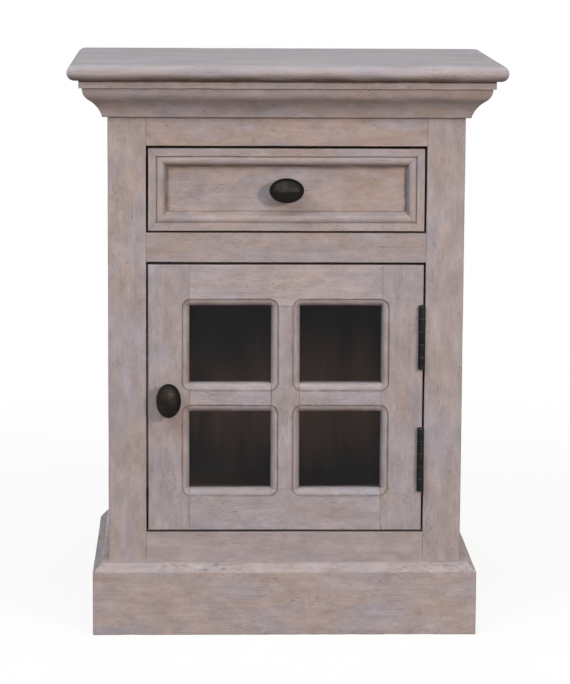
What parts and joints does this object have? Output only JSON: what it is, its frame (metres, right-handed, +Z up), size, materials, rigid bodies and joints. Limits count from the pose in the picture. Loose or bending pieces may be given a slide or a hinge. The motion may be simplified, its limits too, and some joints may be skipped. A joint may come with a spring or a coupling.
{
  "type": "nightstand",
  "caption": "Limed wood nightstand with a moulded drawer that slides over a hinged glazed cupboard door, under an ogee cornice and on a chamfered plinth.",
  "frame": {"origin": "on the floor, at the middle of the whole box", "axes": "+Z up, the front faces -Y, +X to the right seen from the front"},
  "size_m": [0.45, 0.3, 0.6],
  "materials": {
    "limed_wood": "limed and hand-sanded, matt",
    "inside_wood": "dark stain, matt",
    "drawer_box_wood": "plain sanded",
    "back_board": "stained plywood",
    "pane_glass": "clear",
    "knob_bronze": "dark antiqued",
    "hinge_steel": "black, worn",
    "bright_steel": "zinc plated",
    "catch_plastic": "moulded",
    "magnet": "ferrite"
  },
  "bodies": {
    "carcass": {"back_panel": "back_board", "cabinet_floor": "inside_wood", "carcass_screws": "bright_steel", "catch_housing": "catch_plastic", "catch_magnet": "magnet", "cornice_front": "limed_wood", "cornice_left": "limed_wood", "cornice_right": "limed_wood", "drawer_kickers": "inside_wood", "drawer_runners": "inside_wood", "drawer_stops": "inside_wood", "fillet_front": "limed_wood", "fillet_left": "limed_wood", "fillet_right": "limed_wood", "fixing_battens": "inside_wood", "front_bottom_rail": "limed_wood", "front_mid_rail": "limed_wood", "front_top_rail": "limed_wood", "hinge_pins": "bright_steel", "hinge_post_leaves": "hinge_steel", "left_front_post": "limed_wood", "left_rear_post": "limed_wood", "left_side_bottom_rail": "limed_wood", "left_side_panel": "limed_wood", "left_side_top_rail": "limed_wood", "plinth_front": "limed_wood", "plinth_left": "limed_wood", "plinth_right": "limed_wood", "rear_bottom_rail": "inside_wood", "rear_top_rail": "inside_wood", "right_front_post": "limed_wood", "right_rear_post": "limed_wood", "right_side_bottom_rail": "limed_wood", "right_side_panel": "limed_wood", "right_side_top_rail": "limed_wood", "top_board": "limed_wood"},
    "drawer": {"drawer_back": "drawer_box_wood", "drawer_bottom": "drawer_box_wood", "drawer_bottom_moulding": "limed_wood", "drawer_front_board": "limed_wood", "drawer_knob": "knob_bronze", "drawer_knob_screw": "bright_steel", "drawer_left_moulding": "limed_wood", "drawer_left_side": "drawer_box_wood", "drawer_right_moulding": "limed_wood", "drawer_right_side": "drawer_box_wood", "drawer_top_moulding": "limed_wood"},
    "door": {"door_bottom_rail": "limed_wood", "door_cross_muntins": "limed_wood", "door_hinge_stile": "limed_wood", "door_knob": "knob_bronze", "door_knob_screw": "bright_steel", "door_knob_stile": "limed_wood", "door_screws": "bright_steel", "door_top_rail": "limed_wood", "door_vertical_muntin": "limed_wood", "glass_panes": "pane_glass", "glazing_beads": "limed_wood", "hinge_door_leaves": "hinge_steel", "catch_plate": "bright_steel"}
  },
  "joints": [
    {"name": "drawer_slide", "type": "slide", "parent": "carcass", "child": "drawer", "axis": [0, -1, 0], "range_m": [0, 0.15]},
    {"name": "door_hinge", "type": "hinge", "parent": "carcass", "child": "door", "pos_m": [0.1421, -0.1132, 0.25], "axis": [0, 0, 1], "range_deg": [0, 175]}
  ]
}
